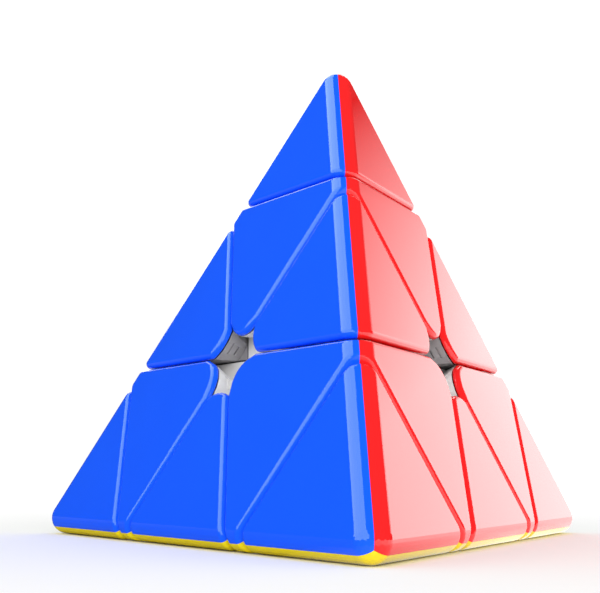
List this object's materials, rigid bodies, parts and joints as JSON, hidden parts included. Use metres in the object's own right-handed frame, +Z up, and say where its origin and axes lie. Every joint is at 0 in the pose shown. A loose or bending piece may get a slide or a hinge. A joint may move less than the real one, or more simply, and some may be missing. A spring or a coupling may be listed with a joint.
{
  "type": "pyramid twisty puzzle",
  "caption": "Tetrahedral twisty puzzle with turning corner tips, layers and edge pieces on a sprung core, in plain coloured plastic.",
  "frame": {"origin": "centre of the core, where the four turning axes meet", "axes": "+Z up through the top corner, with the yellow face down; -Y towards the front corner, where the blue, red and yellow faces meet; +X towards the right corner"},
  "size_m": [0.0958, 0.0839, 0.0793],
  "materials": {
    "red_plastic": "polished, self-coloured",
    "blue_plastic": "polished, self-coloured",
    "green_plastic": "polished, self-coloured",
    "yellow_plastic": "polished, self-coloured",
    "white_inner": "fine satin",
    "grey_inner": "fine satin",
    "dark_core": "satin",
    "steel": "zinc plated"
  },
  "bodies": {
    "core": {"core": "dark_core", "screw_top": "steel", "spring_top": "steel", "screw_front": "steel", "spring_front": "steel", "screw_left": "steel", "spring_left": "steel", "screw_right": "steel", "spring_right": "steel"},
    "axial_top": {"axial_top_hub": "white_inner", "axial_top_cap_red": "red_plastic", "axial_top_cap_blue": "blue_plastic", "axial_top_cap_green": "green_plastic"},
    "tip_top": {"tip_top_base": "white_inner", "tip_top_cap_red": "red_plastic", "tip_top_cap_blue": "blue_plastic", "tip_top_cap_green": "green_plastic"},
    "axial_front": {"axial_front_hub": "white_inner", "axial_front_cap_red": "red_plastic", "axial_front_cap_blue": "blue_plastic", "axial_front_cap_yellow": "yellow_plastic"},
    "tip_front": {"tip_front_base": "white_inner", "tip_front_cap_red": "red_plastic", "tip_front_cap_blue": "blue_plastic", "tip_front_cap_yellow": "yellow_plastic"},
    "axial_left": {"axial_left_hub": "white_inner", "axial_left_cap_blue": "blue_plastic", "axial_left_cap_green": "green_plastic", "axial_left_cap_yellow": "yellow_plastic"},
    "tip_left": {"tip_left_base": "white_inner", "tip_left_cap_blue": "blue_plastic", "tip_left_cap_green": "green_plastic", "tip_left_cap_yellow": "yellow_plastic"},
    "axial_right": {"axial_right_hub": "white_inner", "axial_right_cap_red": "red_plastic", "axial_right_cap_green": "green_plastic", "axial_right_cap_yellow": "yellow_plastic"},
    "tip_right": {"tip_right_base": "white_inner", "tip_right_cap_red": "red_plastic", "tip_right_cap_green": "green_plastic", "tip_right_cap_yellow": "yellow_plastic"},
    "edge_top_front": {"edge_top_front_carrier": "grey_inner", "edge_top_front_cap_red": "red_plastic", "edge_top_front_cap_blue": "blue_plastic"},
    "edge_top_left": {"edge_top_left_carrier": "grey_inner", "edge_top_left_cap_blue": "blue_plastic", "edge_top_left_cap_green": "green_plastic"},
    "edge_top_right": {"edge_top_right_carrier": "grey_inner", "edge_top_right_cap_red": "red_plastic", "edge_top_right_cap_green": "green_plastic"},
    "edge_front_left": {"edge_front_left_carrier": "grey_inner", "edge_front_left_cap_blue": "blue_plastic", "edge_front_left_cap_yellow": "yellow_plastic"},
    "edge_front_right": {"edge_front_right_carrier": "grey_inner", "edge_front_right_cap_red": "red_plastic", "edge_front_right_cap_yellow": "yellow_plastic"},
    "edge_left_right": {"edge_left_right_carrier": "grey_inner", "edge_left_right_cap_green": "green_plastic", "edge_left_right_cap_yellow": "yellow_plastic"}
  },
  "joints": [
    {"name": "layer_top", "type": "hinge", "parent": "core", "child": "axial_top", "pos_m": [0, 0, 0], "axis": [0, 0, 1], "range_deg": [-240, 120]},
    {"name": "layer_front", "type": "hinge", "parent": "core", "child": "axial_front", "pos_m": [0, 0, 0], "axis": [0, -0.9428, -0.3333], "range_deg": [-240, 120]},
    {"name": "layer_left", "type": "hinge", "parent": "core", "child": "axial_left", "pos_m": [0, 0, 0], "axis": [-0.8165, 0.4714, -0.3333], "range_deg": [-240, 120]},
    {"name": "layer_right", "type": "hinge", "parent": "core", "child": "axial_right", "pos_m": [0, 0, 0], "axis": [0.8165, 0.4714, -0.3333], "range_deg": [-240, 120]},
    {"name": "tip_top_turn", "type": "hinge", "parent": "axial_top", "child": "tip_top", "pos_m": [0, 0, 0], "axis": [0, 0, 1], "continuous": true},
    {"name": "tip_front_turn", "type": "hinge", "parent": "axial_front", "child": "tip_front", "pos_m": [0, 0, 0], "axis": [0, -0.9428, -0.3333], "continuous": true},
    {"name": "tip_left_turn", "type": "hinge", "parent": "axial_left", "child": "tip_left", "pos_m": [0, 0, 0], "axis": [-0.8165, 0.4714, -0.3333], "continuous": true},
    {"name": "tip_right_turn", "type": "hinge", "parent": "axial_right", "child": "tip_right", "pos_m": [0, 0, 0], "axis": [0.8165, 0.4714, -0.3333], "continuous": true},
    {"name": "edge_top_front_with_front", "type": "hinge", "parent": "axial_top", "child": "edge_top_front", "pos_m": [0, 0, 0], "axis": [0, -0.9428, -0.3333], "range_deg": [-240, 120]},
    {"name": "edge_top_left_with_left", "type": "hinge", "parent": "axial_top", "child": "edge_top_left", "pos_m": [0, 0, 0], "axis": [-0.8165, 0.4714, -0.3333], "range_deg": [-240, 120]},
    {"name": "edge_top_right_with_right", "type": "hinge", "parent": "axial_top", "child": "edge_top_right", "pos_m": [0, 0, 0], "axis": [0.8165, 0.4714, -0.3333], "range_deg": [-240, 120]},
    {"name": "edge_front_left_with_front", "type": "hinge", "parent": "axial_left", "child": "edge_front_left", "pos_m": [0, 0, 0], "axis": [0, -0.9428, -0.3333], "range_deg": [-240, 120]},
    {"name": "edge_front_right_with_right", "type": "hinge", "parent": "axial_front", "child": "edge_front_right", "pos_m": [0, 0, 0], "axis": [0.8165, 0.4714, -0.3333], "range_deg": [-240, 120]},
    {"name": "edge_left_right_with_left", "type": "hinge", "parent": "axial_right", "child": "edge_left_right", "pos_m": [0, 0, 0], "axis": [-0.8165, 0.4714, -0.3333], "range_deg": [-240, 120]}
  ],
  "couplings": [
    {"joint": "edge_top_front_with_front", "follows": "layer_front", "ratio": 1},
    {"joint": "edge_top_left_with_left", "follows": "layer_left", "ratio": 1},
    {"joint": "edge_top_right_with_right", "follows": "layer_right", "ratio": 1},
    {"joint": "edge_front_left_with_front", "follows": "layer_front", "ratio": 1},
    {"joint": "edge_front_right_with_right", "follows": "layer_right", "ratio": 1},
    {"joint": "edge_left_right_with_left", "follows": "layer_left", "ratio": 1}
  ]
}
